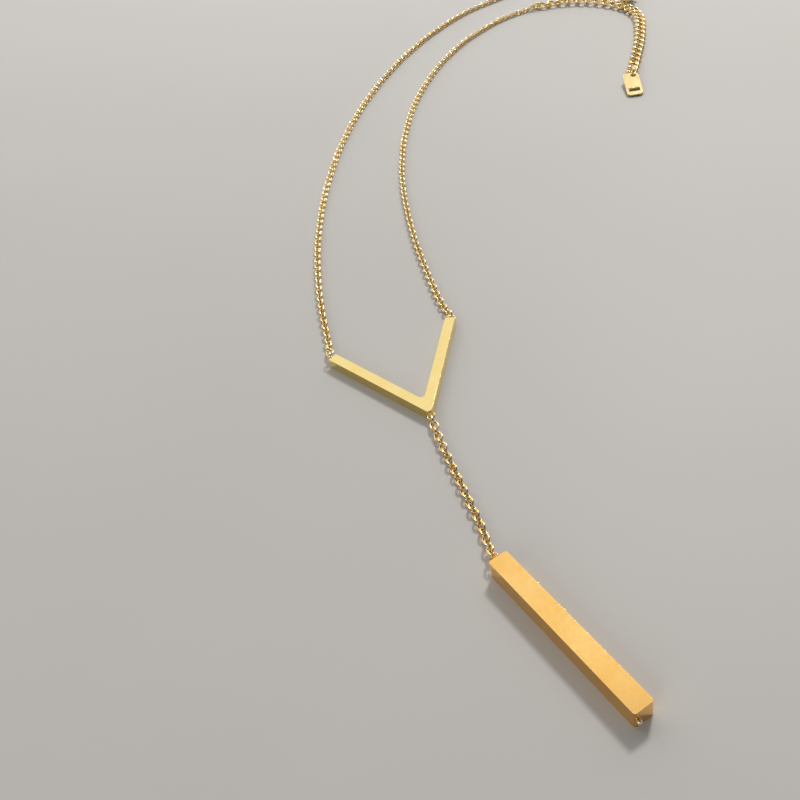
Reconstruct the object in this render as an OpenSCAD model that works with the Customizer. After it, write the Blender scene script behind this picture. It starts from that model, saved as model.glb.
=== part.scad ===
// A Y-shaped necklace that lies on a flat surface, closed at its clasp.
// A V-shaped bar joins two strands of fine cable chain. A drop chain hangs from the point of the V
// and carries a square bar pendant. The right strand ends in a curb chain extender with a tag,
// and the lobster clasp of the left strand hooks a ring in that extender.
// Millimetres. The surface is z = 0, +X is right, and the neck end is at +Y.

/* [V bar] */
// Side of the square section
v_side = 1.8; // [1.5:0.1:2.0]
// Outer length of each arm, from the sharp point of the V
v_arm = 25.0; // [24:0.1:26]
// Angle between the arms
v_angle = 57.3; // [56:0.1:59]
// Radius of the inner corner
v_inner_r = 0.7; // [0.3:0.1:1.0]
// Radius of the outer corner
v_outer_r = 0.7; // [0.6:0.05:0.8]

/* [Bar pendant] */
// Side of the square section
bar_side = 3.0; // [2.5:0.1:3.5]
// Length of the bar
bar_len = 27.6; // [27:0.1:29]
// Radius of the bar's upright corners
bar_corner_r = 0.4; // [0.2:0.05:0.6]
// Diameter of the round stud on the lower end
stud_d = 0.72; // [0.5:0.01:1.0]

/* [Cable chain] */
// Diameter of the wire
link_wire = 0.36; // [0.32:0.01:0.38]
// Outer length of a link
link_len = 2.1; // [2.0:0.01:2.2]
// Outer width of a link
link_wid = 1.6; // [1.5:0.01:1.7]
// Free gap between two links pulled apart
link_play = 0.13; // [0.11:0.01:0.15]

/* [Soldered rings] */
// Outer diameter of the rings on the V and the bar
eye_d = 1.56; // [1.5:0.01:1.7]
// Diameter of their wire
eye_wire = 0.3; // [0.28:0.01:0.34]

/* [Extender] */
// Diameter of the curb chain's wire
curb_wire = 0.66; // [0.62:0.01:0.67]
// Outer width of a curb link
curb_wid = 3.15; // [3.1:0.05:3.2]
// Distance from one curb link to the next
curb_pitch = 2.95; // [2.9:0.01:3.0]
// Twist of a curb link from its middle to each end
curb_twist = -47; // [-48:1:-46]
// Outer diameter of the ring that the clasp hooks
hook_ring_d = 3.6; // [3.5:0.05:3.7]
// Outer diameter of the ring between cable chain and curb chain
joint_ring_d = 2.6; // [2.5:0.05:2.7]
// Diameter of the wire of both rings
ring_wire = 0.5; // [0.45:0.01:0.52]
// Outer diameter of the thinner rings on the clasp and the tag
thin_ring_d = 3.2; // [3.15:0.01:3.25]
// Diameter of their wire
thin_ring_wire = 0.45; // [0.42:0.01:0.46]

/* [Tag] */
// Width of the tag
tag_wid = 3.8; // [3.6:0.1:4.2]
// Length of the tag
tag_len = 9.2; // [9.0:0.1:9.4]
// Thickness of the tag
tag_thick = 0.6; // [0.55:0.01:0.62]
// Radius of its corners
tag_corner_r = 1.2; // [0.6:0.1:1.5]
// Width of the slot near its free end
slot_wid = 2.6; // [2.2:0.1:2.8]
// Height of that slot
slot_high = 1.5; // [1.0:0.1:1.6]
// Diameter of the hole for its ring
tag_hole_d = 1.4; // [1.35:0.01:1.45]

/* [Clasp] */
// Length from the hook's wire to the centre of the eye
clasp_reach = 7.6; // [7.5:0.05:7.7]
// Outer width of the hook
clasp_wid = 4.4; // [4.3:0.05:4.5]
// Diameter of the hook's wire
hook_wire = 1.0; // [0.9:0.05:1.05]
// Thickness of the body at the pin
clasp_thick = 2.0; // [1.9:0.05:2.1]
// Thickness of the eye
eye_thick = 0.8; // [0.7:0.05:0.85]
// Diameter of the eye's hole
eye_hole_d = 1.3; // [1.25:0.05:1.35]
// Thickness of the lever
lever_thick = 0.8; // [0.7:0.05:0.85]
// Diameter of the lever's pin
pin_d = 0.6; // [0.5:0.05:0.65]

/* [Hidden] */
$fn = 48;

gold = [0.90, 0.72, 0.38];
up = [0, 0, 1];

// V bar: its sharp outer point and the direction that its middle line points
v_point = [-36.7, -61.9];
v_dir = 97.95;

// Bar pendant: its centre and the direction from its ring end to its lower end
bar_at = [-27.9, -106.2];
bar_dir = -66.8;

// Place of the stud on the lower end: sideways from the middle, and height
stud_side = -1.0;
stud_z = 1.25;

// Cable chain: half height of links that lie leaning at 45 degrees, which is the strand's radius
strand_r = (link_wid - link_wire) / 2 * sin(45) + link_wire / 2;
link_pitch = link_len - 2 * link_wire - link_play;
tube_sides = 8;

// Soldered rings: how deep they are sunk in the solder, the heights of their centres, and how far
// the right one leans from upright and the one at the point leans from flat
eye_sunk = 0.1;
steep_lean = 0.4;
v_eye_z = 1.5;
v_right_eye_z = 0.95;
v_point_eye_z = 1.2;
bar_eye_z = 1.9;

// Curb chain: outer length of a link
curb_len = curb_pitch + 2 * curb_wire + link_play;

// Rolls of the links, in rows of a link's number and its roll. The extender leans on one edge where
// no ring holds it flat. The drop chain's upper links hang flat and upright in turn.
extender_rolls = [[0, 0], [3, -16], [5, -16], [8, 0], [10, 0], [14, -18], [22, -18], [25, 8]];
drop_rolls = [[0, 90], [7, 135]];

// Link meshes: steps round a link, sides of its wire, and steps between two points of a route
link_steps = 14;
wire_sides = 6;
route_steps = 8;

// Routes of the chains, chosen by hand. The strands run from the V to the neck end.
left_route = [[-51.3, -39.75, 0.8], [-51.3, -33.6, 0.62], [-51.5, -27.1, 0.62], [-51.5, -20.4, 0.62],
    [-51.1, -11.5, 0.62], [-50.5, -3.9, 0.62], [-49.5, 3.9, 0.62], [-48.2, 12.1, 0.62],
    [-46.5, 20.5, 0.62], [-44.9, 27.0, 0.62], [-42.5, 35.7, 0.62], [-40.3, 42.4, 0.62],
    [-37.1, 51.2, 0.62], [-34.3, 57.8, 0.62], [-31.3, 64.3, 0.62], [-26.8, 72.8, 0.62],
    [-23.2, 78.9, 0.62], [-18.0, 86.7, 0.62], [-13.8, 92.2, 0.62], [-8.0, 99.0, 0.62],
    [-3.4, 103.5, 0.62], [2.8, 108.9, 0.62], [8.5, 112.6, 0.62], [13.5, 114.8, 0.62],
    [19.0, 116.7, 0.62], [25.0, 118.4, 0.62], [31.0, 119.4, 0.62], [37.0, 119.1, 0.62],
    [42.5, 117.0, 0.62], [47.0, 113.2, 0.62], [49.9, 108.2, 0.62], [51.2, 102.4, 0.62],
    [51.3, 96.9, 0.7]];
right_route = [[-28.5, -36.6, 0.7], [-29.2, -32.3, 0.62], [-29.7, -25.9, 0.62], [-30.0, -19.2, 0.62],
    [-30.2, -10.1, 0.62], [-30.1, -2.3, 0.62], [-29.7, 6.1, 0.62], [-29.2, 12.7, 0.62],
    [-28.1, 21.9, 0.62], [-26.8, 29.1, 0.62], [-25.3, 36.5, 0.62], [-22.5, 46.4, 0.62],
    [-20.0, 53.8, 0.62], [-17.0, 61.0, 0.62], [-13.7, 67.8, 0.62], [-10.0, 74.3, 0.62],
    [-6.0, 80.3, 0.62], [-0.3, 87.3, 0.62], [4.2, 91.7, 0.62], [11.9, 97.5, 0.62],
    [18.1, 100.4, 0.62], [21.6, 101.3, 0.62], [24.65, 101.7, 0.7]];
drop_route = [[-36.7, -62.75, 1.12], [-36.6, -65.0, 0.87], [-36.3, -68.0, 0.79], [-35.9, -71.5, 0.64],
    [-35.4, -75.5, 0.63], [-34.9, -79.5, 0.63], [-34.4, -83.3, 0.63], [-34.0, -86.9, 0.64],
    [-33.9, -89.5, 0.95], [-33.84, -92.03, 1.75]];
extender_route = [[28.2, 101.4, 0.9], [32.9, 100.5, 1.0], [36.9, 98.6, 1.05], [40.6, 95.9, 1.07],
    [43.2, 92.9, 0.98], [45.5, 89.4, 0.88], [47.2, 85.6, 0.84], [48.1, 81.8, 0.89],
    [48.2, 78.2, 0.99], [47.5, 74.2, 1.06], [46.1, 70.0, 1.06], [44.4, 65.3, 1.06],
    [42.6, 60.8, 1.06], [40.9, 57.0, 1.06], [39.2, 53.5, 1.06], [37.5, 50.0, 1.06],
    [35.9, 46.7, 1.1], [34.2, 43.2, 1.4]];

// Rings between the pieces: their centres, the direction of their planes and how these lean above
// the surface. The rings at the hook and at the clasp's eye stand upright. The hook ring runs
// through a link of the curb chain.
joint_ring_at = [26.17, 101.67, 1.14];
joint_ring_dir = -5;
joint_ring_lean = 124;
hook_ring_at = [47.71, 86.84, 1.81];
hook_ring_dir = 48;
tag_ring_at = [33.55, 41.05, 1.7];
tag_ring_dir = 80;
tag_ring_lean = 101;

// Tag: centre of its lower face, its direction from the hole to the slot, its slope and its lift.
// Then how far the hole and the slot lie from the ends, and the hole from the middle line.
tag_at = [32.1, 36.6];
tag_dir = -101;
tag_slope = 9;
tag_lift = 0.01;
hole_from_end = 1.2;
hole_side = 0.6;
slot_from_end = 2.1;

// Clasp: the middle of its hook's wire, its direction and its slope down to the eye.
// In its own frame x runs from the hook to the eye and z is its thickness.
clasp_at = [49.1, 86.64, 2.22];
clasp_dir = 79;
clasp_slope = 6.8;
hook_r = (clasp_wid - hook_wire) / 2;
hook_turn = 172;
spine = [3.6, 1.1, 1.3];
pin_at = [5.35, -1.15];
clasp_ring_off = 1.08;

// Clasp plates, a row for each disc that they wrap: x, y and radius
eye_rim = 0.45;
neck_discs = [[5.2, 1.15, 1.05], [pin_at[0], pin_at[1], 0.95], [6.9, 0, 0.8]];
eye_discs = [[6.6, 0, 0.75], [clasp_reach, 0, eye_hole_d / 2 + eye_rim]];
lever_discs = [[pin_at[0], pin_at[1], 0.7], [2.1, -1.7, 0.42]];
tab_discs = [[4.7, -1.7, 0.5], [4.15, -2.75, 0.35]];

// The lever's slot in the neck, and its running fit at its sides and on its pin
lever_slot_at = [3.9, -2.5];
lever_slot = [2.3, 2.9];
side_play = 0.05;
pin_play = 0.04;

// Vectors and angles
function unit(v) = v / norm(v);
function heading(a) = [cos(a), sin(a), 0];
function flat(p, z = 0) = [p[0], p[1], z];

// A point on the smooth curve between b and c of four route points
function curve_point(a, b, c, d, t) =
    (2 * b + (c - a) * t + (2 * a - 5 * b + 4 * c - d) * t * t + (3 * b - a - 3 * c + d) * t * t * t) / 2;

// The smooth curve through a route, with n steps between two points
function smooth(r, n) = [
    for (i = [0:len(r) - 2], k = [0:n - 1])
        curve_point(r[max(i - 1, 0)], r[i], r[i + 1], r[min(i + 2, len(r) - 1)], k / n),
    r[len(r) - 1]
];

// Length run at each point of a curve, and the place after a given run
function runs(c) = [
    for (i = 0, s = 0; i < len(c); i = i + 1, s = i < len(c) ? s + norm(c[i] - c[i - 1]) : s) s
];
function column(c, s, k) = [for (i = [0:len(c) - 1]) [s[i], c[i][k]]];
function place(tables, s) = [for (k = [0:2]) lookup(s, tables[k])];
function direction(tables, s) = unit(place(tables, s + 0.2) - place(tables, s - 0.2));

// Sideways and upward directions of something that runs along t and is rolled about it
function side_of(t, roll) = let (s = unit(cross(up, t))) s * cos(roll) + cross(t, s) * sin(roll);

// Middle line of an oval link, whose plane twists from end to end
function link_point(a, b, twist, u) = let (q = twist * cos(u))
    [a * cos(u), b * sin(u) * cos(q), b * sin(u) * sin(q)];
function link_normal(twist, u) = let (q = twist * cos(u)) [0, -sin(q), cos(q)];

// Points of a wire of radius r whose middle line runs through c, with a section turned by n
function wire_ring(c, t, n, r, sides) = let (m = unit(cross(t, n)), k = cross(m, t))
    [for (j = [0:sides - 1]) c + r * (cos(360 * j / sides) * m + sin(360 * j / sides) * k)];

// Faces between rings of points, joined end to start for a closed loop
function band(rings, sides, closed) = [
    for (i = [0:rings - (closed ? 1 : 2)], j = [0:sides - 1])
        let (a = i * sides, b = (i + 1) % rings * sides, j2 = (j + 1) % sides)
        each [[a + j, b + j2, b + j], [a + j, a + j2, b + j2]]
];

// One oval link: half length, half width, twist, wire, its place, the way it runs and its roll
module link(a, b, twist, wire, at, t, roll) {
    s = side_of(t, roll);
    n = cross(t, s);
    angles = [for (i = [0:link_steps - 1]) 360 * i / link_steps];
    function turn(v) = t * v[0] + s * v[1] + n * v[2];
    rings = [for (u = angles)
        let (ahead = link_point(a, b, twist, u + 1) - link_point(a, b, twist, u - 1))
        each wire_ring(at + turn(link_point(a, b, twist, u)), unit(turn(ahead)),
            turn(link_normal(twist, u)), wire / 2, wire_sides)];
    polyhedron(rings, band(link_steps, wire_sides, true));
}

// Links along a route, spread evenly between its two ends. Each is rolled by turn more than the
// one before, and by what the table rolls gives for its number.
module links(route, length, width, wire, pitch, twist, turn, rolls) {
    c = smooth(route, route_steps);
    s = runs(c);
    tables = [for (k = [0:2]) column(c, s, k)];
    total = s[len(s) - 1];
    count = ceil(total / pitch - 0.02) + 1;
    step = total / (count - 1);
    for (i = [0:count - 1])
        link((length - wire) / 2, (width - wire) / 2, twist, wire, place(tables, i * step),
            direction(tables, i * step), turn * i + lookup(i, rolls));
}

// A strand of fine chain as a plain round tube along its route
module strand(route) {
    c = smooth(route, 1);
    n = len(c);
    rings = [for (i = [0:n - 1])
        each wire_ring(c[i], unit(c[min(i + 1, n - 1)] - c[max(i - 1, 0)]), up, strand_r, tube_sides)];
    ends = [[for (j = [0:tube_sides - 1]) tube_sides - 1 - j],
        [for (j = [0:tube_sides - 1]) (n - 1) * tube_sides + j]];
    polyhedron(rings, concat(band(n, tube_sides, false), ends));
}

// A round ring whose middle line lies in the plane of the directions a and b
module ring(at, a, b, d, wire) {
    n = unit(cross(a, b));
    translate(at)
        rotate(acos(n[2]), cross(up, n))
            rotate_extrude() translate([(d - wire) / 2, 0]) circle(d = wire);
}

// A corner of an outline, rounded by r: the point p between its neighbours a and b
function corner(p, a, b, r, n) =
    let (ua = unit(a - p), ub = unit(b - p), half = acos(ua * ub) / 2, mid = unit(ua + ub),
        c = p + mid * r / sin(half), q = c - mid * r, turn = cross(ua, ub) > 0 ? -1 : 1,
        start = atan2(q[1] - c[1], q[0] - c[0]))
    [for (i = [-n:n]) let (w = start + turn * (90 - half) * i / n) c + r * [cos(w), sin(w)]];

// Directions of the V's arms, and the middle of an arm's end
v_left = v_dir + v_angle / 2;
v_right = v_dir - v_angle / 2;
function v_end(arm, inward, z) = flat(v_point, z) + v_arm * heading(arm) + v_side / 2 * heading(inward);
v_left_end = v_end(v_left, v_left - 90, v_eye_z);
v_right_end = v_end(v_right, v_right + 90, v_right_eye_z);
eye_off = eye_d / 2 - eye_sunk;
v_apex = flat(v_point, v_point_eye_z) + v_outer_r * (1 / sin(v_angle / 2) - 1) * heading(v_dir);
v_point_eye = v_apex - eye_off * heading(v_dir);

// The V with its three soldered rings. The left ring leans back at 45 degrees, the right one
// stands, and the one at the point lies almost flat.
module v_bar() {
    p = v_point;
    left_out = p + v_arm * [cos(v_left), sin(v_left)];
    right_out = p + v_arm * [cos(v_right), sin(v_right)];
    left_in = left_out + v_side * [sin(v_left), -cos(v_left)];
    right_in = right_out - v_side * [sin(v_right), -cos(v_right)];
    inner = p + v_side / sin(v_angle / 2) * [cos(v_dir), sin(v_dir)];
    outline = concat(corner(p, left_out, right_out, v_outer_r, 4), [right_out, right_in],
        corner(inner, right_in, left_in, v_inner_r, 5), [left_in, left_out]);
    color(gold) {
        linear_extrude(v_side) polygon(outline);
        ring(v_left_end + eye_off * heading(v_left), heading(v_left),
            heading(v_left + 90) + up, eye_d, eye_wire);
        ring(v_right_end + eye_off * heading(v_right), heading(v_right),
            heading(v_right + 90) * steep_lean + up, eye_d, eye_wire);
        ring(v_point_eye, heading(v_dir), heading(v_dir + 90) - up * steep_lean, eye_d, eye_wire);
    }
}

// The bar with a soldered ring at its upper end and a round stud on its lower end
bar_end = flat(bar_at, bar_eye_z) - bar_len / 2 * heading(bar_dir);
bar_eye = bar_end - eye_off * heading(bar_dir);
module bar_pendant() {
    h = bar_side / 2;
    l = bar_len / 2;
    p = [[l, h], [-l, h], [-l, -h], [l, -h]];
    color(gold) {
        translate(flat(bar_at)) rotate(bar_dir) {
            linear_extrude(bar_side)
                polygon([for (i = [0:3]) each corner(p[i], p[(i + 3) % 4], p[(i + 1) % 4], bar_corner_r, 3)]);
            translate([l + stud_d / 4, stud_side, stud_z]) sphere(d = stud_d);
        }
        ring(bar_eye, heading(bar_dir), heading(bar_dir + 90) + up, eye_d, eye_wire);
    }
}

// The drop chain: its upper links hang flat and upright in turn, then settle at 45 degrees
module drop_chain() {
    color(gold)
        links(drop_route, link_len, link_wid, link_wire, link_pitch, 0, 90, drop_rolls);
}

module left_chain() {
    color(gold) strand(left_route);
}

module right_chain() {
    color(gold) strand(right_route);
}

// A ring whose plane runs along dir and leans by lean above the surface
module leaning_ring(at, dir, lean, d, wire) {
    color(gold) ring(at, heading(dir), heading(dir + 90) * cos(lean) + up * sin(lean), d, wire);
}

module joint_ring() {
    leaning_ring(joint_ring_at, joint_ring_dir, joint_ring_lean, joint_ring_d, ring_wire);
}

module hook_ring() {
    leaning_ring(hook_ring_at, hook_ring_dir, 90, hook_ring_d, ring_wire);
}

module clasp_ring() {
    at = flat(clasp_at, thin_ring_d / 2) + (clasp_reach + clasp_ring_off) * heading(clasp_dir);
    leaning_ring(at, clasp_dir, 90, thin_ring_d, thin_ring_wire);
}

module tag_ring() {
    leaning_ring(tag_ring_at, tag_ring_dir, tag_ring_lean, thin_ring_d, thin_ring_wire);
}

// The curb chain of the extender. Its last links rise to the tag's ring.
module extender_chain() {
    color(gold)
        links(extender_route, curb_len, curb_wid, curb_wire, curb_pitch, curb_twist, 0, extender_rolls);
}

// Local frame of the clasp
module in_clasp() {
    translate(clasp_at) rotate(clasp_dir, up) rotate(clasp_slope, [0, 1, 0]) children();
}

// A flat plate of thickness h that wraps round discs, each given as x, y and radius
module wrapped_plate(discs, h) {
    translate([0, 0, -h / 2])
        linear_extrude(h)
            hull()
                for (d = discs) translate([d[0], d[1]]) circle(d[2], $fn = 32);
}

// The clasp's hook, spine, slotted neck and eye, with the lever's pin
module clasp_body() {
    color(gold) in_clasp() {
        difference() {
            union() {
                translate([hook_r, 0])
                    rotate(90) rotate_extrude(angle = hook_turn) translate([hook_r, 0]) circle(d = hook_wire);
                translate([hook_r - 0.2, hook_r - spine[1] / 2, -spine[2] / 2]) cube(spine);
                wrapped_plate(neck_discs, clasp_thick);
                wrapped_plate(eye_discs, eye_thick);
            }
            translate([clasp_reach, 0, -clasp_thick]) cylinder(d = eye_hole_d, h = 2 * clasp_thick);
            translate(flat(lever_slot_at, -lever_thick / 2 - side_play))
                cube(flat(lever_slot, lever_thick + 2 * side_play));
        }
        translate(flat(pin_at, -clasp_thick / 2)) cylinder(d = pin_d, h = clasp_thick);
    }
}

// The lever, closed: it runs from the pin to the hook's tip and has a thumb tab outside
module clasp_lever() {
    color(gold) in_clasp() difference() {
        union() {
            wrapped_plate(lever_discs, lever_thick);
            wrapped_plate(tab_discs, lever_thick);
        }
        translate(flat(pin_at, -lever_thick)) cylinder(d = pin_d + 2 * pin_play, h = 2 * lever_thick);
    }
}

// The tag lies on its slotted end and leans on its ring
module tag() {
    h = tag_wid / 2;
    l = tag_len / 2;
    p = [[l, h], [-l, h], [-l, -h], [l, -h]];
    lift = l * sin(tag_slope) + tag_lift;
    color(gold)
        translate(flat(tag_at, lift)) rotate(tag_dir, up) rotate(tag_slope, [0, 1, 0]) difference() {
            linear_extrude(tag_thick)
                polygon([for (i = [0:3]) each corner(p[i], p[(i + 3) % 4], p[(i + 1) % 4], tag_corner_r, 5)]);
            translate([-l + hole_from_end, hole_side, -tag_thick])
                cylinder(d = tag_hole_d, h = 3 * tag_thick);
            translate([l - slot_from_end - slot_high / 2, -slot_wid / 2, -tag_thick])
                cube([slot_high, slot_wid, 3 * tag_thick]);
        }
}

v_bar();
bar_pendant();
drop_chain();
left_chain();
right_chain();
joint_ring();
extender_chain();
hook_ring();
clasp_body();
clasp_lever();
clasp_ring();
tag_ring();
tag();
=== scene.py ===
"""A Y-shaped gold necklace with a V bar, a bar pendant, an extender and a lobster clasp.

The necklace lies closed on a plain pale floor. Each piece stands for a solid of the frame, in its
place and at its size: real links for the chains, bevelled bars, jump rings with their cuts, and a
cast clasp. The routes, sizes and places are those of the solids.
"""

import math

import bpy
import numpy as np
from mathutils import Matrix, Vector
from mathutils.geometry import tessellate_polygon


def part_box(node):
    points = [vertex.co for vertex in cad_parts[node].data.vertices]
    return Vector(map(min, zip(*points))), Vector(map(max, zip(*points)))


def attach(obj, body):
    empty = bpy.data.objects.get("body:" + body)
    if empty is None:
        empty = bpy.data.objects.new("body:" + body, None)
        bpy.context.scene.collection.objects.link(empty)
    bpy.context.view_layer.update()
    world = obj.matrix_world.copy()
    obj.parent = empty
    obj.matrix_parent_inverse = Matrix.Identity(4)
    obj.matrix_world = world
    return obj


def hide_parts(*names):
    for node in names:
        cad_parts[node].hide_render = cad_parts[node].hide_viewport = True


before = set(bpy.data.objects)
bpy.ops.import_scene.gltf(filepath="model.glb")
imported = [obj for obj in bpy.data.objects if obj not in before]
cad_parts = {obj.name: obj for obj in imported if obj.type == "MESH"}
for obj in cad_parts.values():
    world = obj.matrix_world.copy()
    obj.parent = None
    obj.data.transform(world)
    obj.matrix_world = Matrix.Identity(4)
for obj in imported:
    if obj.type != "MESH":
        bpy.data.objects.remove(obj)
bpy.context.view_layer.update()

MM = 0.001
UP = np.array([0.0, 0.0, 1.0])

# Camera: its place, how far it looks down, its roll, its lens and sensor, and how near and far it sees
CAMERA_AT = (-0.041, -0.1685, 0.100)
CAMERA_DOWN = 41.34
CAMERA_ROLL = -13.67
LENS = 40.617
SENSOR = 36
NEAREST = 0.005
FARTHEST = 20

# Room: colours of its walls and its ceiling, and where the ceiling starts
WALL = (0.34, 0.335, 0.33, 1)
CEILING = (0.10, 0.10, 0.105, 1)
CEILING_FROM = 0.5

# Floor: its side, corners and thickness, its two tones and the size of their mottle
FLOOR_SIDE = 6
FLOOR_CORNER_R = 0.5
FLOOR_THICK = 0.01
FLOOR_TONES = ((0.63, 0.62, 0.60, 1), (0.67, 0.66, 0.64, 1))
FLOOR_MOTTLE = 0.05

# Lamps: name, place, what it is aimed at, width and height, power and colour
LAMPS = [
    ("back_softbox", (0, 0.65, 0.5), (0, 0, 0.11), (2.2, 1.17), 7.0, (1.0, 0.985, 0.96)),
    ("key", (0.304, 0.468, 0.642), (0, -0.02, 0), (0.14, 0.14), 3.3, (1.0, 0.97, 0.92)),
    ("front_lamp", (-0.45, -0.55, 0.36), (-0.02, -0.05, 0), (0.4, 0.4), 1.1, (1.0, 0.97, 0.92))]

# Edges sharper than this, in degrees, stay sharp in the shading and are the ones that are bevelled
SHARP = 40

# V bar: its outer point, middle direction, opening, section, arms, corners and bevel
V_POINT = np.array([-36.7, -61.9]) * MM
V_DIR = 97.95
V_ANGLE = 57.3
V_SIDE = 1.8 * MM
V_ARM = 25.0 * MM
V_OUTER_R = 0.7 * MM
V_INNER_R = 0.7 * MM
V_EDGE = 0.09 * MM
V_LEFT = V_DIR + V_ANGLE / 2
V_RIGHT = V_DIR - V_ANGLE / 2

# Bar pendant: its centre, direction, section, length, corners and bevel
BAR_AT = np.array([-27.9, -106.2]) * MM
BAR_DIR = -66.8
BAR_SIDE = 3.0 * MM
BAR_LEN = 27.6 * MM
BAR_CORNER_R = 0.4 * MM
BAR_EDGE = 0.14 * MM

# Stud on the lower end of the bar: diameter, place sideways and height
STUD_D = 0.72 * MM
STUD_SIDE = -1.0 * MM
STUD_Z = 1.25 * MM

# Soldered rings: diameter, wire, depth in the face, lean of the steep ones, heights, how far their
# centres stand off their faces, and the points along and round their wire
EYE_D = 1.56 * MM
EYE_WIRE = 0.3 * MM
EYE_SUNK = 0.1 * MM
STEEP_LEAN = 0.4
V_EYE_Z = 1.5 * MM
V_RIGHT_EYE_Z = 0.95 * MM
V_POINT_EYE_Z = 1.2 * MM
BAR_EYE_Z = 1.9 * MM
EYE_OFF = EYE_D / 2 - EYE_SUNK
EYE_FINE = (48, 16)

# Solder at a soldered ring's foot: radius, height, depth in the face, and length to width
SOLDER_R = 0.26 * MM
SOLDER_HIGH = 0.16 * MM
SOLDER_SUNK = 0.05 * MM
SOLDER_STRETCH = 1.5

# Cable chain: wire, outer length and width of a link, free gap, pitches, and the points along and
# round a link's wire in the strands and in the drop
LINK_WIRE = 0.36 * MM
LINK_LEN = 2.1 * MM
LINK_WID = 1.6 * MM
LINK_PLAY = 0.13 * MM
LINK_PITCH = LINK_LEN - 2 * LINK_WIRE - LINK_PLAY
STRAND_PITCH = 1.17 * MM
STRAND_FINE = (28, 10)
DROP_FINE = (40, 14)

# Curb chain of the extender: wire, outer width, pitch, outer length, twist, and points as above
CURB_WIRE = 0.66 * MM
CURB_WID = 3.15 * MM
CURB_PITCH = 2.95 * MM
CURB_LEN = CURB_PITCH + 2 * CURB_WIRE + LINK_PLAY
CURB_TWIST = -47
CURB_FINE = (56, 16)

# Share of a pitch by which a chain's middle line may be too long before it gets one link more
COUNT_SLACK = 0.02

# Rolls of the links, in rows of a link's number and its roll
EXTENDER_ROLLS = [[0, 0], [3, -16], [5, -16], [8, 0], [10, 0], [14, -18], [22, -18], [25, 8]]
DROP_ROLLS = [[0, 90], [7, 135]]

# Extra roll of each strand's first and last link, and the links over which it fades
LEFT_END_ROLLS = (48, 40)
RIGHT_END_ROLLS = (-17, -5)
ROLL_FADE = 4

# Jump rings: diameters, wire, and the cut where each was closed, with the share of the wire left there
JOINT_RING_D = 2.6 * MM
HOOK_RING_D = 3.6 * MM
RING_WIRE = 0.5 * MM
THIN_RING_D = 3.2 * MM
THIN_RING_WIRE = 0.45 * MM
RING_CUT = 0.05 * MM
CUT_SHARE = 0.86

# Tag: size, corners, bevel, hole and slot, place, direction, slope and height off the floor
TAG_WID = 3.8 * MM
TAG_LEN = 9.2 * MM
TAG_THICK = 0.6 * MM
TAG_CORNER_R = 1.2 * MM
TAG_EDGE = 0.1 * MM
TAG_HOLE_D = 1.4 * MM
HOLE_FROM_END = 1.2 * MM
HOLE_SIDE = 0.6 * MM
SLOT_WID = 2.6 * MM
SLOT_HIGH = 1.5 * MM
SLOT_FROM_END = 2.1 * MM
SLOT_CORNER_R = 0.15 * MM
TAG_AT = np.array([32.1, 36.6]) * MM
TAG_DIR = -101
TAG_SLOPE = 9
TAG_LIFT = 0.01 * MM

# Clasp: place, direction and slope of its frame, the pin's place there and the clasp's thickness
CLASP_AT = np.array([49.1, 86.64, 2.22]) * MM
CLASP_DIR = 79
CLASP_SLOPE = 6.8
PIN_AT = np.array([5.35, -1.15]) * MM
CLASP_THICK = 2.0 * MM

# Rivet heads on the pin's ends: radius, height, depth of their feet and how far the heads are let in
RIVET_R = 0.36 * MM
RIVET_HIGH = 0.13 * MM
RIVET_SUNK = 0.05 * MM
RIVET_IN = 0.03 * MM

# Cast skin: weld distance, share of the skin's grid that the solid spans, softening in each round,
# and the fineness and rounds for the clasp's body and for its lever
CAST_WELD = 0.001 * MM
CAST_FILL = 0.95
CAST_SOFT = 0.5
BODY_CAST = (8, 8)
LEVER_CAST = (7, 5)

# Lever: its thickness, its thumb tab from foot to end, and the grooves across the tab
LEVER_THICK = 0.8 * MM
TAB_FOOT = np.array([4.7, -1.7]) * MM
TAB_FOOT_R = 0.5 * MM
TAB_END = np.array([4.15, -2.75]) * MM
TAB_END_R = 0.35 * MM
GROOVES = 3
GROOVE_FIRST = 0.78 * MM
GROOVE_STEP = 0.24 * MM
GROOVE_R = 0.08 * MM

# Polish: size of the uneven patches, the clouds and the grain, height of the grain, directions,
# length, width and depth of the scratches, and what scratches and grime add to the roughness
PATCH = 5 * MM
CLOUD = 0.7 * MM
GRAIN = 0.05 * MM
GRAIN_HIGH = 0.0003 * MM
SCRATCH_TURNS = (60, 112)
SCRATCH_LEN = 3 * MM
SCRATCH_WID = 0.03 * MM
SCRATCH_DEEP = 0.0005 * MM
SCRATCH_ROUGH = 0.06
GRIME_ROUGH = 0.18

# Middle lines of the chains, in millimetres, and the steps between two of their points
ROUTE_STEPS = 8
LEFT_ROUTE = np.array([
    [-51.3, -33.6, 0.62], [-51.5, -27.1, 0.62], [-51.5, -20.4, 0.62],
    [-51.1, -11.5, 0.62], [-50.5, -3.9, 0.62], [-49.5, 3.9, 0.62], [-48.2, 12.1, 0.62],
    [-46.5, 20.5, 0.62], [-44.9, 27.0, 0.62], [-42.5, 35.7, 0.62], [-40.3, 42.4, 0.62],
    [-37.1, 51.2, 0.62], [-34.3, 57.8, 0.62], [-31.3, 64.3, 0.62], [-26.8, 72.8, 0.62],
    [-23.2, 78.9, 0.62], [-18.0, 86.7, 0.62], [-13.8, 92.2, 0.62], [-8.0, 99.0, 0.62],
    [-3.4, 103.5, 0.62], [2.8, 108.9, 0.62], [8.5, 112.6, 0.62], [13.5, 114.8, 0.62],
    [19.0, 116.7, 0.62], [25.0, 118.4, 0.62], [31.0, 119.4, 0.62], [37.0, 119.1, 0.62],
    [42.5, 117.0, 0.62], [47.0, 113.2, 0.62], [49.9, 108.2, 0.62], [51.2, 102.4, 0.62]])
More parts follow.
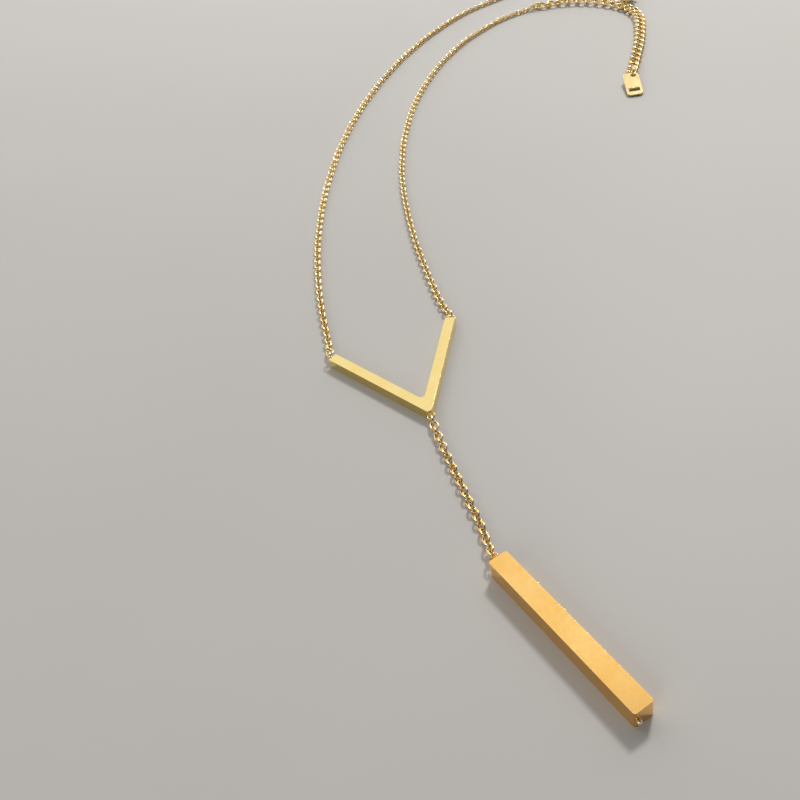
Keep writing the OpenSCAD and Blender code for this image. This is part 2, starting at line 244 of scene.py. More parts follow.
RIGHT_ROUTE = np.array([
    [-29.2, -32.3, 0.62], [-29.7, -25.9, 0.62], [-30.0, -19.2, 0.62],
    [-30.2, -10.1, 0.62], [-30.1, -2.3, 0.62], [-29.7, 6.1, 0.62], [-29.2, 12.7, 0.62],
    [-28.1, 21.9, 0.62], [-26.8, 29.1, 0.62], [-25.3, 36.5, 0.62], [-22.5, 46.4, 0.62],
    [-20.0, 53.8, 0.62], [-17.0, 61.0, 0.62], [-13.7, 67.8, 0.62], [-10.0, 74.3, 0.62],
    [-6.0, 80.3, 0.62], [-0.3, 87.3, 0.62], [4.2, 91.7, 0.62], [11.9, 97.5, 0.62],
    [18.1, 100.4, 0.62], [21.6, 101.3, 0.62]])
DROP_ROUTE = np.array([
    [-36.7, -62.75, 1.12], [-36.6, -65.0, 0.87], [-36.3, -68.0, 0.79], [-35.9, -71.5, 0.64],
    [-35.4, -75.5, 0.63], [-34.9, -79.5, 0.63], [-34.4, -83.3, 0.63], [-34.0, -86.9, 0.64],
    [-33.9, -89.5, 0.95], [-33.84, -92.03, 1.75]])
EXTENDER_ROUTE = np.array([
    [28.2, 101.4, 0.9], [32.9, 100.5, 1.0], [36.9, 98.6, 1.05], [40.6, 95.9, 1.07],
    [43.2, 92.9, 0.98], [45.5, 89.4, 0.88], [47.2, 85.6, 0.84], [48.1, 81.8, 0.89],
    [48.2, 78.2, 0.99], [47.5, 74.2, 1.06], [46.1, 70.0, 1.06], [44.4, 65.3, 1.06],
    [42.6, 60.8, 1.06], [40.9, 57.0, 1.06], [39.2, 53.5, 1.06], [37.5, 50.0, 1.06],
    [35.9, 46.7, 1.1], [34.2, 43.2, 1.4]])

# Centres of the first and last links of the two strands, in millimetres
LEFT_FIRST = [-51.27, -40.01, 1.14]
LEFT_LAST = [51.0, 96.6, 0.91]
RIGHT_FIRST = [-28.25, -36.88, 0.78]
RIGHT_LAST = [24.94, 101.85, 0.86]


def unit(v):
    """A vector at length 1."""
    v = np.asarray(v, float)
    return v / np.linalg.norm(v)


def heading(degrees):
    """The level direction at an angle from +X."""
    a = math.radians(degrees)
    return np.array([math.cos(a), math.sin(a), 0.0])


def flat(point, z=0.0):
    """A point seen from above, at a height z."""
    return np.array([point[0], point[1], z])


def smooth(route):
    """The smooth curve through a route in millimetres, as the frame's solids follow it, in metres."""
    curve = []
    for i in range(len(route) - 1):
        a, b, c, d = (route[min(max(k, 0), len(route) - 1)] for k in range(i - 1, i + 3))
        for t in np.arange(ROUTE_STEPS) / ROUTE_STEPS:
            curve.append((2 * b + (c - a) * t + (2 * a - 5 * b + 4 * c - d) * t ** 2
                          + (3 * b - a - 3 * c + d) * t ** 3) / 2)
    return np.array(curve + [route[-1]]) * MM


class Path:
    """A curve that is read by the length run along it."""

    def __init__(self, route):
        self.points = smooth(route)
        lengths = np.linalg.norm(np.diff(self.points, axis=0), axis=1)
        self.runs = np.concatenate([[0], np.cumsum(lengths)])
        self.total = self.runs[-1]

    def at(self, run):
        return np.array([np.interp(run, self.runs, self.points[:, k]) for k in range(3)])

    def direction(self, run, reach=0.2 * MM):
        return unit(self.at(run + reach) - self.at(run - reach))


def side_of(t, roll):
    """Sideways direction of something that runs along t and is rolled about it."""
    s = unit(np.cross(UP, t))
    a = math.radians(roll)
    return s * math.cos(a) + np.cross(t, s) * math.sin(a)


def tube(centres, tangents, normals, radii, sides, closed):
    """Points round a middle line and the faces between them, with flat ends if it is open."""
    m = np.cross(tangents, normals)
    m /= np.linalg.norm(m, axis=1, keepdims=True)
    k = np.cross(m, tangents)
    a = np.linspace(0, 2 * math.pi, sides, endpoint=False)
    radii = np.broadcast_to(radii, len(centres))[:, None, None]
    turn = np.cos(a)[None, :, None] * m[:, None] + np.sin(a)[None, :, None] * k[:, None]
    points = (centres[:, None] + radii * turn).reshape(-1, 3)
    rings = len(centres)
    i, j = np.meshgrid(np.arange(rings if closed else rings - 1), np.arange(sides), indexing="ij")
    here, ahead, beside = i * sides, (i + 1) % rings * sides, (j + 1) % sides
    faces = np.stack([here + j, ahead + j, ahead + beside, here + beside], axis=-1)
    faces = faces.reshape(-1, 4).tolist()
    if not closed:
        faces.append(list(range(sides)))
        faces.append(list(range(rings * sides - 1, (rings - 1) * sides - 1, -1)))
    return points, faces


def oval_link(at, t, roll, length, width, wire, twist, steps, sides):
    """One link, whose plane twists by twist degrees from its middle to each end."""
    s = side_of(t, roll)
    axes = np.array([t, s, np.cross(t, s)])
    a, b = (length - wire) / 2, (width - wire) / 2
    u = np.linspace(0, 2 * math.pi, steps, endpoint=False)
    nudge = 0.01

    def line(u):
        q = math.radians(twist) * np.cos(u)
        return np.stack([a * np.cos(u), b * np.sin(u) * np.cos(q), b * np.sin(u) * np.sin(q)], axis=1)

    ahead = line(u + nudge) - line(u - nudge)
    ahead /= np.linalg.norm(ahead, axis=1, keepdims=True)
    q = math.radians(twist) * np.cos(u)
    normal = np.stack([np.zeros(steps), -np.sin(q), np.cos(q)], axis=1)
    return tube(at + line(u) @ axes, ahead @ axes, normal @ axes, wire / 2, sides, True)


def chain(path, length, width, wire, pitch, twist, rolls, steps, sides):
    """Links spread evenly along a path. rolls(i, count) gives the roll of link i."""
    count = math.ceil(path.total / pitch - COUNT_SLACK) + 1
    step = path.total / (count - 1)
    return [oval_link(path.at(i * step), path.direction(i * step), rolls(i, count), length, width, wire,
                      twist, steps, sides) for i in range(count)]


def round_ring(at, a, b, d, wire, steps, sides):
    """A closed ring of diameter d whose middle line lies in the plane of the directions a and b."""
    n = unit(np.cross(a, b))
    a = unit(a)
    b = np.cross(n, a)
    u = np.linspace(0, 2 * math.pi, steps, endpoint=False)[:, None]
    r = (d - wire) / 2
    line = at + r * (np.cos(u) * a + np.sin(u) * b)
    tangents = -np.sin(u) * a + np.cos(u) * b
    return tube(line, tangents, np.broadcast_to(n, line.shape), wire / 2, sides, True)


def jump_ring(at, a, b, d, wire, cut_at, steps=96, sides=20):
    """A ring that was bent closed: its two flat ends meet at a fine cut, cut_at degrees from a."""
    n = unit(np.cross(a, b))
    a = unit(a)
    b = np.cross(n, a)
    r = (d - wire) / 2
    half_cut = RING_CUT / 2 / r
    chamfer = RING_CUT / r
    inner = np.linspace(half_cut + chamfer, 2 * math.pi - half_cut - chamfer, steps)
    u = np.concatenate([[half_cut], inner, [2 * math.pi - half_cut]])[:, None] + math.radians(cut_at)
    radii = np.full(len(u), wire / 2)
    radii[[0, -1]] *= CUT_SHARE
    line = at + r * (np.cos(u) * a + np.sin(u) * b)
    tangents = -np.sin(u) * a + np.cos(u) * b
    return tube(line, tangents, np.broadcast_to(n, line.shape), radii, sides, False)


def lathe(at, axis, along, profile, stretch=1.0, sides=24):
    """A closed turned shape. profile has rows of radius and height, from its first pole to its last.

    stretch lengthens it in the direction along, which lies across its axis.
    """
    axis = unit(axis)
    across = unit(np.cross(axis, along))
    along = np.cross(across, axis)
    a = np.linspace(0, 2 * math.pi, sides, endpoint=False)[:, None]
    points = [at + axis * profile[0][1]]
    for radius, height in profile[1:-1]:
        points += list(at + axis * height + radius * (np.cos(a) * along * stretch + np.sin(a) * across))
    points.append(at + axis * profile[-1][1])
    faces = []
    rings = len(profile) - 2
    for j in range(sides):
        k = (j + 1) % sides
        faces.append([0, 1 + k, 1 + j])
        for i in range(rings - 1):
            low, high = 1 + i * sides, 1 + (i + 1) * sides
            faces.append([low + j, low + k, high + k, high + j])
        top = 1 + (rings - 1) * sides
        faces.append([top + j, top + k, len(points) - 1])
    return np.array(points), faces


def dome(at, axis, along, radius, height, sunk):
    """A low dome whose foot is sunk in the surface that it stands on."""
    steps = 8
    profile = [[0, -sunk], [radius, -sunk]]
    for i in range(steps):
        a = math.pi / 2 * i / steps
        profile.append([radius * math.cos(a), height * math.sin(a)])
    return lathe(at, axis, along, profile + [[0, height]])


def ball(at, axis, along, radius, steps=16):
    """A round bead with its poles along axis."""
    turns = [math.pi * i / steps for i in range(steps + 1)]
    return lathe(at, axis, along, [[radius * math.sin(a), -radius * math.cos(a)] for a in turns])


def fillet(at, axis, along, radius, height, sunk, stretch):
    """Solder that has run up a soldered ring: wide and thin at its foot, hollow in its flank."""
    steps = 7
    profile = [[0, -sunk], [radius, -sunk]]
    for i in range(steps):
        t = i / steps
        flank = 1 - math.sqrt(1 - t * t) + 0.35 * t
        profile.append([radius * (1 - t) ** 0.8, height * flank])
    return lathe(at, axis, along, profile + [[0, height * 1.3]], stretch)


def corner(p, a, b, r, n):
    """A corner of an outline, rounded by r: the point p between its neighbours a and b."""
    ua, ub = unit(a - p), unit(b - p)
    half = math.acos(np.dot(ua, ub)) / 2
    middle = unit(ua + ub)
    centre = p + middle * r / math.sin(half)
    foot = centre - middle * r
    turn = -1 if ua[0] * ub[1] - ua[1] * ub[0] > 0 else 1
    start = math.atan2(foot[1] - centre[1], foot[0] - centre[0])
    angles = [start + turn * (math.pi / 2 - half) * i / n for i in range(-n, n + 1)]
    return [centre + r * np.array([math.cos(w), math.sin(w)]) for w in angles]


def rounded_box(length, width, r, n, centre=(0.0, 0.0)):
    """A rounded rectangle, as points that run anticlockwise."""
    h, l = width / 2, length / 2
    p = np.array([[l, h], [-l, h], [-l, -h], [l, -h]]) + np.array(centre)
    return [q for i in range(4) for q in corner(p[i], p[i - 1], p[(i + 1) % 4], r, n)]


def plate(outline, holes, thick):
    """A flat plate from z = 0 up to thick, with an outline and holes cut through it."""
    loops = [list(outline)] + [list(hole) for hole in holes]
    points = np.array([flat(p) for loop in loops for p in loop])
    n = len(points)
    faces = []
    for tri in tessellate_polygon([[Vector(flat(p)) for p in loop] for loop in loops]):
        a, b, c = (points[i] for i in tri)
        up = np.cross(b - a, c - a)[2] > 0
        tri = list(tri) if up else list(tri)[::-1]
        faces.append([i + n for i in tri])
        faces.append(tri[::-1])
    first = 0
    for loop in loops:
        area = sum(p[0] * q[1] - p[1] * q[0] for p, q in zip(loop, loop[1:] + loop[:1]))
        outer = first == 0
        for i in range(len(loop)):
            j, k = first + i, first + (i + 1) % len(loop)
            side = [j, k, k + n, j + n]
            faces.append(side if (area > 0) == outer else side[::-1])
        first += len(loop)
    return np.concatenate([points, points + UP * thick]), faces


def moved(shape, matrix):
    """A shape turned and moved by a matrix."""
    points, faces = shape
    m = np.array(matrix)
    return points @ m[:3, :3].T + m[:3, 3], faces


def new_mesh(name, shapes):
    """One mesh of several closed shapes."""
    points, faces = [], []
    first = 0
    for shape_points, shape_faces in shapes:
        points.append(shape_points)
        faces += [[i + first for i in face] for face in shape_faces]
        first += len(shape_points)
    mesh = bpy.data.meshes.new(name)
    mesh.from_pydata(np.concatenate(points).tolist(), [], faces)
    mesh.validate()
    return mesh


def new_piece(name, shapes):
    """An object of closed shapes, smooth but for its sharp edges."""
    mesh = new_mesh(name, shapes)
    mesh.shade_smooth()
    mesh.set_sharp_from_angle(angle=math.radians(SHARP))
    piece = bpy.data.objects.new(name, mesh)
    bpy.context.scene.collection.objects.link(piece)
    return piece


def bevel(piece, width, segments=3):
    """Rounds the sharp edges of a piece for good, and keeps its flat faces flat."""
    edge = piece.modifiers.new("edge", "BEVEL")
    edge.width = width
    edge.segments = segments
    edge.limit_method = "ANGLE"
    edge.angle_limit = math.radians(SHARP)
    edge.harden_normals = True
    apply_modifiers(piece)


def apply_modifiers(piece):
    """Makes what the modifiers of a piece give its mesh for good."""
    bpy.context.view_layer.update()
    shaped = piece.evaluated_get(bpy.context.evaluated_depsgraph_get())
    mesh = bpy.data.meshes.new_from_object(shaped)
    piece.modifiers.clear()
    piece.data = mesh
    mesh.name = piece.name


def join(name, *pieces):
    """Several objects as one piece."""
    with bpy.context.temp_override(active_object=pieces[0], selected_editable_objects=list(pieces)):
        bpy.ops.object.join()
    pieces[0].name = name
    pieces[0].data.name = name
    return pieces[0]


def cast(name, node, depth, rounds, cuts=None):
    """A cast and tumbled copy of a solid: one skin with soft edges, of the same size and place.

    depth is the fineness of the skin, as halvings of its box. cuts is an object whose shapes are cut
    out of the skin before it is tumbled.
    """
    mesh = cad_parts[node].data.copy()
    mesh.materials.clear()
    piece = bpy.data.objects.new(name, mesh)
    bpy.context.scene.collection.objects.link(piece)
    weld = piece.modifiers.new("weld", "WELD")
    weld.merge_threshold = CAST_WELD
    skin = piece.modifiers.new("skin", "REMESH")
    skin.mode = "SHARP"
    skin.octree_depth = depth
    skin.scale = CAST_FILL
    skin.use_smooth_shade = True
    if cuts is not None:
        grooves = piece.modifiers.new("grooves", "BOOLEAN")
        grooves.operation = "DIFFERENCE"
        grooves.object = cuts
    soft = piece.modifiers.new("soft", "SMOOTH")
    soft.factor = CAST_SOFT
    soft.iterations = rounds
    apply_modifiers(piece)
    return piece


def dress(piece, body, material, node):
    """Gives a piece its material and its body, and hides the solid that it stands for."""
    piece.data.materials.clear()
    piece.data.materials.append(material)
    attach(piece, body)
    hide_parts(node)


class Graph:
    """Short calls that build the nodes of a material."""

    def __init__(self, name):
        self.material = bpy.data.materials.new(name)
        self.material.use_nodes = True
        self.tree = self.material.node_tree
        self.shader = self.tree.nodes["Principled BSDF"]

    def node(self, kind, settings=(), **inputs):
        made = self.tree.nodes.new(kind)
        for key, value in dict(settings).items():
            setattr(made, key, value)
        for key, value in inputs.items():
            self.set(made.inputs[key.replace("_", " ")], value)
        return made

    def set(self, socket, value):
        if isinstance(value, bpy.types.NodeSocket):
            self.tree.links.new(value, socket)
        else:
            socket.default_value = value

    def math(self, operation, a, b, clamp=False):
        made = self.tree.nodes.new("ShaderNodeMath")
        made.operation = operation
        made.use_clamp = clamp
        self.set(made.inputs[0], a)
        self.set(made.inputs[1], b)
        return made.outputs[0]

    def spread(self, value, low, high, to_low, to_high):
        """A value between low and high, spread from to_low to to_high."""
        made = self.node("ShaderNodeMapRange", Value=value, From_Min=low, From_Max=high, To_Min=to_low,
                         To_Max=to_high)
        return made.outputs["Result"]

    def mix(self, share, a, b):
        made = self.tree.nodes.new("ShaderNodeMix")
        made.data_type = "RGBA"
        self.set(made.inputs["Factor"], share)
        self.set(made.inputs["A"], a)
        self.set(made.inputs["B"], b)
        return made.outputs["Result"]

    def place(self, scale, turn=(0, 0, 0)):
        """Places on the object, turned, and scaled for each axis in features a metre."""
        coords = self.node("ShaderNodeTexCoord")
        turned = self.node("ShaderNodeMapping", Vector=coords.outputs["Object"],
                           Rotation=[math.radians(a) for a in turn])
        made = self.node("ShaderNodeMapping", Vector=turned.outputs["Vector"], Scale=scale)
        return made.outputs["Vector"]

    def noise(self, place, detail=2.0, roughness=0.5):
        made = self.node("ShaderNodeTexNoise", Vector=place, Scale=1.0, Detail=detail,
                         Roughness=roughness)
        return made.outputs["Fac"]

    def bump(self, height, distance, normal=None):
        made = self.node("ShaderNodeBump", Height=height, Distance=distance, Strength=1.0)
        if normal is not None:
            self.set(made.inputs["Normal"], normal)
        return made.outputs["Normal"]


def hairlines(g, turn):
    """Fine polishing scratches: long thin streaks of noise, of which only the peaks count."""
    scale = (1 / SCRATCH_LEN, 1 / SCRATCH_WID, 1 / SCRATCH_WID)
    streaks = g.noise(g.place(scale, (0, 0, turn)), 1.0)
    return g.spread(streaks, 0.62, 0.72, 0.0, 1.0)


def gold(name, tint, deep, shade_tone, shade_share, roughness, wave, recess):
    """Polished plated gold.

    tint and deep are its two tones. shade_tone is the dark tone of painted shade in its recesses, at
    joints and where it meets the floor, shade_share the most share of that painted shade, and recess
    the reach of the occlusion that places it, which also dulls the roughness there. roughness is that
    of its clean surface, and wave the height of its uneven polish.
    """
    g = Graph(name)
    broad = g.noise(g.place((1 / PATCH,) * 3), 3.0)
    cloud = g.noise(g.place((1 / CLOUD,) * 3), 4.0, 0.6)
    grain = g.noise(g.place((1 / GRAIN,) * 3), 2.0)
    scratches = g.math("MAXIMUM", *(hairlines(g, turn) for turn in SCRATCH_TURNS))
    # Painted shade: ambient occlusion darkens the base colour towards a dark tone in recesses, between
    # parts and where a piece meets the floor; the same mask also raises the roughness there.
    hollow = g.node("ShaderNodeAmbientOcclusion", {"samples": 8}, Distance=recess)
    recess_shade_and_dulling = g.spread(hollow.outputs["AO"], 0.35, 0.9, 1.0, 0.0)
    clean = g.mix(g.spread(broad, 0.35, 0.65, 0.0, 1.0), (*tint, 1), (*deep, 1))
    g.set(g.shader.inputs["Base Color"], g.mix(g.math("MULTIPLY", recess_shade_and_dulling, shade_share), clean, (*shade_tone, 1)))
    g.shader.inputs["Metallic"].default_value = 1.0
    patchy = g.spread(cloud, 0.3, 0.7, roughness * 0.8, roughness * 1.5)
    worn = g.math("ADD", patchy, g.math("MULTIPLY", scratches, SCRATCH_ROUGH))
    dull = g.math("ADD", worn, g.math("MULTIPLY", recess_shade_and_dulling, GRIME_ROUGH), clamp=True)
    g.set(g.shader.inputs["Roughness"], dull)
    uneven = g.bump(broad, wave)
    fine = g.bump(grain, GRAIN_HIGH, uneven)
    g.set(g.shader.inputs["Normal"], g.bump(g.math("MULTIPLY", scratches, -1.0), SCRATCH_DEEP, fine))
    return g.material


def floor_material():
    """A pale smooth table top with a faint mottle."""
    g = Graph("pale_floor")
    mottle = g.noise(g.place((1 / FLOOR_MOTTLE,) * 3), 3.0)
    g.set(g.shader.inputs["Base Color"], g.mix(mottle, *FLOOR_TONES))
    g.set(g.shader.inputs["Roughness"], g.spread(mottle, 0.3, 0.7, 0.5, 0.56))
    g.shader.inputs["Specular IOR Level"].default_value = 0.3
    return g.material


def v_outline():
    """Outline of the V from above, anticlockwise from its outer point."""
    p = V_POINT
    left_out = p + V_ARM * heading(V_LEFT)[:2]
    right_out = p + V_ARM * heading(V_RIGHT)[:2]
    left_in = left_out + V_SIDE * heading(V_LEFT - 90)[:2]
    right_in = right_out + V_SIDE * heading(V_RIGHT + 90)[:2]
    inner = p + V_SIDE / math.sin(math.radians(V_ANGLE / 2)) * heading(V_DIR)[:2]
    return [*corner(p, left_out, right_out, V_OUTER_R, 6), right_out, right_in,
            *corner(inner, right_in, left_in, V_INNER_R, 8), left_in, left_out]


def v_end(arm, inward, z):
    """The middle of an arm's end face, at a height z."""
    return flat(V_POINT, z) + V_ARM * heading(arm) + V_SIDE / 2 * heading(inward)


def soldered_ring(face_at, out, lean):
    """A small ring on a face, with its solder. It lies in the plane of the directions out and lean."""
    ring = round_ring(face_at + EYE_OFF * out, out, lean, EYE_D, EYE_WIRE, *EYE_FINE)
    along = np.cross(unit(np.cross(out, lean)), out)
    return [ring, fillet(face_at, out, along, SOLDER_R, SOLDER_HIGH, SOLDER_SUNK, SOLDER_STRETCH)]


def make_v_bar(material):
    """The V with a soldered ring at each end and at its point."""
    bar = new_piece("v_bar_bevelled", [plate(v_outline(), [], V_SIDE)])
    bevel(bar, V_EDGE)
    rounded_off = V_OUTER_R * (1 / math.sin(math.radians(V_ANGLE / 2)) - 1)
    apex = flat(V_POINT, V_POINT_EYE_Z) + rounded_off * heading(V_DIR)
    rings = new_piece("v_rings", [
        *soldered_ring(v_end(V_LEFT, V_LEFT - 90, V_EYE_Z), heading(V_LEFT), heading(V_LEFT + 90) + UP),
        *soldered_ring(v_end(V_RIGHT, V_RIGHT + 90, V_RIGHT_EYE_Z), heading(V_RIGHT),
                       heading(V_RIGHT + 90) * STEEP_LEAN + UP),
        *soldered_ring(apex, -heading(V_DIR), heading(V_DIR + 90) - UP * STEEP_LEAN)])
    dress(join("v_bar_polished", bar, rings), "necklace", material, "v_bar")


def make_pendant(material, stud_material):
    """The square bar, its soldered ring and the small round stud on its lower end."""
    place = Matrix.Translation(flat(BAR_AT)) @ Matrix.Rotation(math.radians(BAR_DIR), 4, "Z")
    block = plate(rounded_box(BAR_LEN, BAR_SIDE, BAR_CORNER_R, 6), [], BAR_SIDE)
    bar = new_piece("bar_bevelled", [moved(block, place)])
    bevel(bar, BAR_EDGE, segments=4)
    along = heading(BAR_DIR)
    top_end = flat(BAR_AT, BAR_EYE_Z) - BAR_LEN / 2 * along
    trim = new_piece("bar_trim", soldered_ring(top_end, -along, heading(BAR_DIR + 90) + UP))
    dress(join("bar_pendant_polished", bar, trim), "necklace", material, "bar_pendant")
    stud_out = BAR_LEN / 2 + STUD_D / 4
    stud_at = flat(BAR_AT, STUD_Z) + stud_out * along + STUD_SIDE * heading(BAR_DIR + 90)
    stud = new_piece("bar_stud", [ball(stud_at, along, UP, STUD_D / 2)])
    dress(stud, "necklace", stud_material, "bar_pendant")


def table_rolls(turn, table):
    """Links of which each is turned by turn against the one before, and by what the table gives."""
    numbers, rolls = np.array(table, float).T

    def roll(i, count):
        return turn * i + np.interp(i, numbers, rolls)
    return roll


def strand_rolls(first, last):
    """Links that lie at 45 degrees, each turned against the next, and roll towards the strand's ends."""
    def roll(i, count):
        near_start = max(0, 1 - i / ROLL_FADE)
        near_end = max(0, 1 - (count - 1 - i) / ROLL_FADE)
        return 45 + 90 * i + first * near_start + last * near_end
    return roll


def make_strands(material):
    """The two strands of cable chain. A row gives the piece, its solid, its route and its end rolls."""
    for name, node, route, end_rolls in (
            ("left_strand", "left_chain", [LEFT_FIRST, *LEFT_ROUTE, LEFT_LAST], LEFT_END_ROLLS),
            ("right_strand", "right_chain", [RIGHT_FIRST, *RIGHT_ROUTE, RIGHT_LAST], RIGHT_END_ROLLS)):
        links = chain(Path(np.array(route)), LINK_LEN, LINK_WID, LINK_WIRE, STRAND_PITCH, 0,
                      strand_rolls(*end_rolls), *STRAND_FINE)
        dress(new_piece(name, links), "necklace", material, node)


def make_drop_chain(material):
    """The cable chain between the V and the bar."""
    links = chain(Path(DROP_ROUTE), LINK_LEN, LINK_WID, LINK_WIRE, LINK_PITCH, 0,
                  table_rolls(90, DROP_ROLLS), *DROP_FINE)
    dress(new_piece("drop_links", links), "necklace", material, "drop_chain")


def make_extender(material):
    """The twisted curb chain."""
    links = chain(Path(EXTENDER_ROUTE), CURB_LEN, CURB_WID, CURB_WIRE, CURB_PITCH, CURB_TWIST,
                  table_rolls(0, EXTENDER_ROLLS), *CURB_FINE)
    dress(new_piece("extender_links", links), "necklace", material, "extender_chain")


def make_jump_rings(material):
    """Each ring is centred on its solid.

    A row gives the solid, the ring's direction and lean, its diameter and wire, and the place of its
    cut, in degrees.
    """
    for node, direction, lean, d, wire, cut_at in (
            ("joint_ring", -5, 124, JOINT_RING_D, RING_WIRE, 75),
            ("hook_ring", 48, 90, HOOK_RING_D, RING_WIRE, 60),
            ("clasp_ring", CLASP_DIR, 90, THIN_RING_D, THIN_RING_WIRE, 110),
            ("tag_ring", 80, 101, THIN_RING_D, THIN_RING_WIRE, 70)):
        low, high = (np.array(c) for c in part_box(node))
        slant = math.radians(lean)
        leaning = heading(direction + 90) * math.cos(slant) + UP * math.sin(slant)
        ring = jump_ring((low + high) / 2, heading(direction), leaning, d, wire, cut_at)
        dress(new_piece(node + "_cut", [ring]), "necklace", material, node)


def make_tag(material):
    """A bevelled tag with its hole and its slot."""
    hole_at = np.array([-TAG_LEN / 2 + HOLE_FROM_END, HOLE_SIDE])
    sides = 32
    turns = [2 * math.pi * i / sides for i in range(sides)]
    hole = [hole_at + TAG_HOLE_D / 2 * np.array([math.cos(a), math.sin(a)]) for a in turns]
    slot = rounded_box(SLOT_HIGH, SLOT_WID, SLOT_CORNER_R, 3, (TAG_LEN / 2 - SLOT_FROM_END, 0))
    lift = TAG_LEN / 2 * math.sin(math.radians(TAG_SLOPE)) + TAG_LIFT
    place = (Matrix.Translation(flat(TAG_AT, lift)) @ Matrix.Rotation(math.radians(TAG_DIR), 4, "Z")
             @ Matrix.Rotation(math.radians(TAG_SLOPE), 4, "Y"))
    shape = plate(rounded_box(TAG_LEN, TAG_WID, TAG_CORNER_R, 8), [hole, slot], TAG_THICK)
    tag = new_piece("tag_bevelled", [moved(shape, place)])
    bevel(tag, TAG_EDGE)
    dress(tag, "necklace", material, "tag")


def in_clasp():
    """The matrix of the clasp's own frame."""
    return (Matrix.Translation(CLASP_AT) @ Matrix.Rotation(math.radians(CLASP_DIR), 4, "Z")
            @ Matrix.Rotation(math.radians(CLASP_SLOPE), 4, "Y"))


def thumb_grooves():
    """Round rods that cut fine grooves across the thumb side of the lever's tab."""
    down = unit(TAB_END - TAB_FOOT)
    out = np.array([down[1], -down[0]])
    rods = []
    for i in range(GROOVES):
        run = GROOVE_FIRST + GROOVE_STEP * i
        radius = TAB_FOOT_R + (TAB_END_R - TAB_FOOT_R) * run / np.linalg.norm(TAB_END - TAB_FOOT)
        at = flat(TAB_FOOT + run * down + radius * out)
        line = np.array([at - UP * LEVER_THICK, at + UP * LEVER_THICK])
        rods.append(tube(line, np.array([UP, UP]), np.array([flat(out)] * 2), GROOVE_R, 12, False))
    return rods


def make_clasp(material):
    """The cast body with its two rivet heads, and the lever with grooves for the thumb."""
    body = cast("clasp_cast", "clasp_body", *BODY_CAST)
    heads = []
    for side in (-1, 1):
        at = flat(PIN_AT, side * (CLASP_THICK / 2 - RIVET_IN))
        head = dome(at, UP * side, heading(0), RIVET_R, RIVET_HIGH, RIVET_SUNK)
        heads.append(moved(head, in_clasp()))
    riveted = join("clasp_body_cast", body, new_piece("rivets", heads))
    dress(riveted, "necklace", material, "clasp_body")
    cuts = new_piece("thumb_grooves", [moved(groove, in_clasp()) for groove in thumb_grooves()])
    lever = cast("clasp_lever_cast", "clasp_lever", *LEVER_CAST, cuts)
    bpy.data.objects.remove(cuts)
    dress(lever, "lever", material, "clasp_lever")


def make_camera():
    """The camera at the viewing angle of the picture."""
    down = math.radians(CAMERA_DOWN)
    roll = math.radians(CAMERA_ROLL)
    ahead = np.array([0, math.cos(down), -math.sin(down)])
    level_right = np.array([1.0, 0, 0])
    level_up = np.array([0, math.sin(down), math.cos(down)])
    right = level_right * math.cos(roll) + level_up * math.sin(roll)
    up = level_up * math.cos(roll) - level_right * math.sin(roll)
    camera = bpy.data.objects.new("camera", bpy.data.cameras.new("camera"))
    turn = Matrix(np.array([right, up, -ahead]).T.tolist()).to_4x4()
    camera.matrix_world = Matrix.Translation(CAMERA_AT) @ turn
    camera.data.lens = LENS
    camera.data.sensor_width = SENSOR
    camera.data.clip_start = NEAREST
    camera.data.clip_end = FARTHEST
    bpy.context.scene.collection.objects.link(camera)
    bpy.context.scene.camera = camera


def softbox(name, at, aim, size, power, colour):
    """A rectangular area light at a place, turned towards aim."""
    light = bpy.data.objects.new(name, bpy.data.lights.new(name, "AREA"))
    light.data.shape = "RECTANGLE"
    light.data.size, light.data.size_y = size
    light.data.energy = power
    light.data.color = colour
    light.location = at
    light.visible_camera = False
    light.rotation_mode = "QUATERNION"
    light.rotation_quaternion = (Vector(aim) - Vector(at)).to_track_quat("-Z", "Y")
    bpy.context.scene.collection.objects.link(light)


def make_room():
    """The light of a plain room: pale walls and a dim ceiling."""
    world = bpy.data.worlds.new("room")
    world.use_nodes = True
    tree = world.node_tree
    coords = tree.nodes.new("ShaderNodeTexCoord")
    height = tree.nodes.new("ShaderNodeSeparateXYZ")
    share = tree.nodes.new("ShaderNodeMapRange")
    mix = tree.nodes.new("ShaderNodeMix")
    mix.data_type = "RGBA"
    share.inputs["From Max"].default_value = CEILING_FROM
    mix.inputs["A"].default_value = WALL
    mix.inputs["B"].default_value = CEILING
    tree.links.new(coords.outputs["Generated"], height.inputs["Vector"])
    tree.links.new(height.outputs["Z"], share.inputs["Value"])
    tree.links.new(share.outputs["Result"], mix.inputs["Factor"])
    tree.links.new(mix.outputs["Result"], tree.nodes["Background"].inputs["Color"])
    bpy.context.scene.world = world


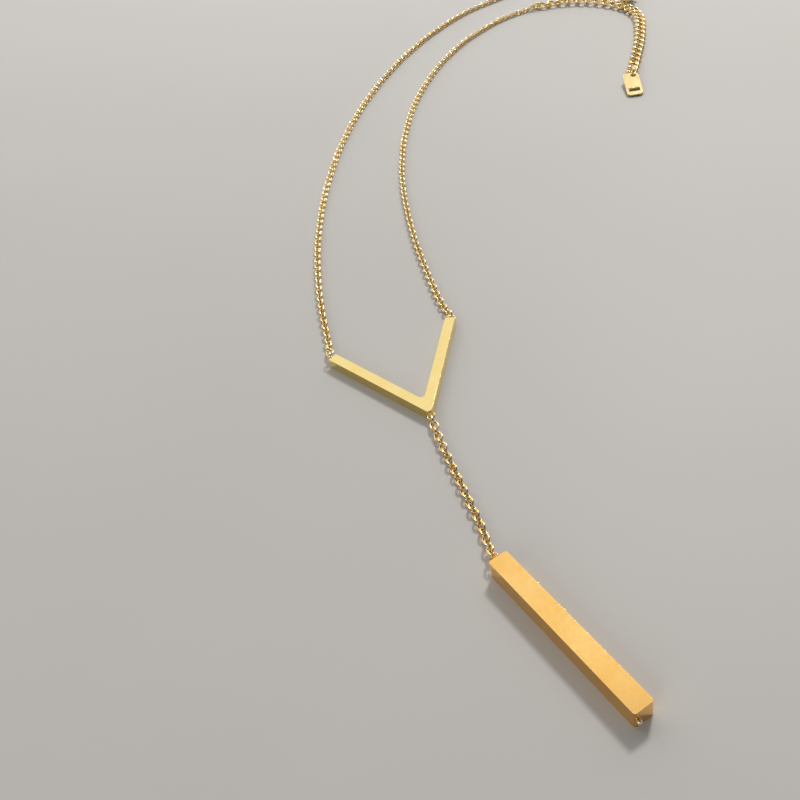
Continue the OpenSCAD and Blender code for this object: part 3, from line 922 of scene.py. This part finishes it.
def make_studio():
    """A pale floor, the lamps and a plain room."""
    floor = new_piece("floor", [plate(rounded_box(FLOOR_SIDE, FLOOR_SIDE, FLOOR_CORNER_R, 4), [],
                                      FLOOR_THICK)])
    floor.location.z = -FLOOR_THICK
    floor.data.materials.append(floor_material())
    for lamp in LAMPS:
        softbox(*lamp)
    make_room()
    bpy.context.scene.view_settings.view_transform = "Standard"


make_camera()
make_studio()

# Each gold below has a dark tone of painted shade for its recesses, joints and floor contact, and the
# most share of that painted shade.
v_gold = gold(
    "polished_v_gold", tint=(0.96, 0.77, 0.33), deep=(0.94, 0.72, 0.27), shade_tone=(0.36, 0.18, 0.05),
    shade_share=0.45, roughness=0.10, wave=0.005 * MM, recess=0.35 * MM)
bar_gold = gold(
    "polished_bar_gold", tint=(0.98, 0.62, 0.21), deep=(0.95, 0.56, 0.16), shade_tone=(0.36, 0.16, 0.04),
    shade_share=0.45, roughness=0.12, wave=0.005 * MM, recess=0.35 * MM)
chain_gold = gold(
    "bright_chain_gold", tint=(1.0, 0.80, 0.42), deep=(0.98, 0.71, 0.31), shade_tone=(0.30, 0.12, 0.02),
    shade_share=0.75, roughness=0.13, wave=0.002 * MM, recess=0.30 * MM)
clasp_gold = gold(
    "pale_clasp_gold", tint=(0.97, 0.80, 0.46), deep=(0.95, 0.74, 0.37), shade_tone=(0.20, 0.09, 0.03),
    shade_share=0.85, roughness=0.15, wave=0.004 * MM, recess=0.80 * MM)
tag_gold = gold(
    "pale_tag_gold", tint=(0.85, 0.68, 0.35), deep=(0.83, 0.64, 0.29), shade_tone=(0.20, 0.09, 0.03),
    shade_share=0.85, roughness=0.09, wave=0.003 * MM, recess=0.80 * MM)
stud_gold = gold(
    "pale_stud_gold", tint=(1.0, 0.88, 0.62), deep=(1.0, 0.84, 0.54), shade_tone=(0.80, 0.62, 0.38),
    shade_share=0.45, roughness=0.26, wave=0.002 * MM, recess=0.20 * MM)

make_v_bar(v_gold)
make_pendant(bar_gold, stud_gold)
make_strands(chain_gold)
make_drop_chain(chain_gold)
make_extender(chain_gold)
make_jump_rings(chain_gold)
make_tag(tag_gold)
make_clasp(clasp_gold)
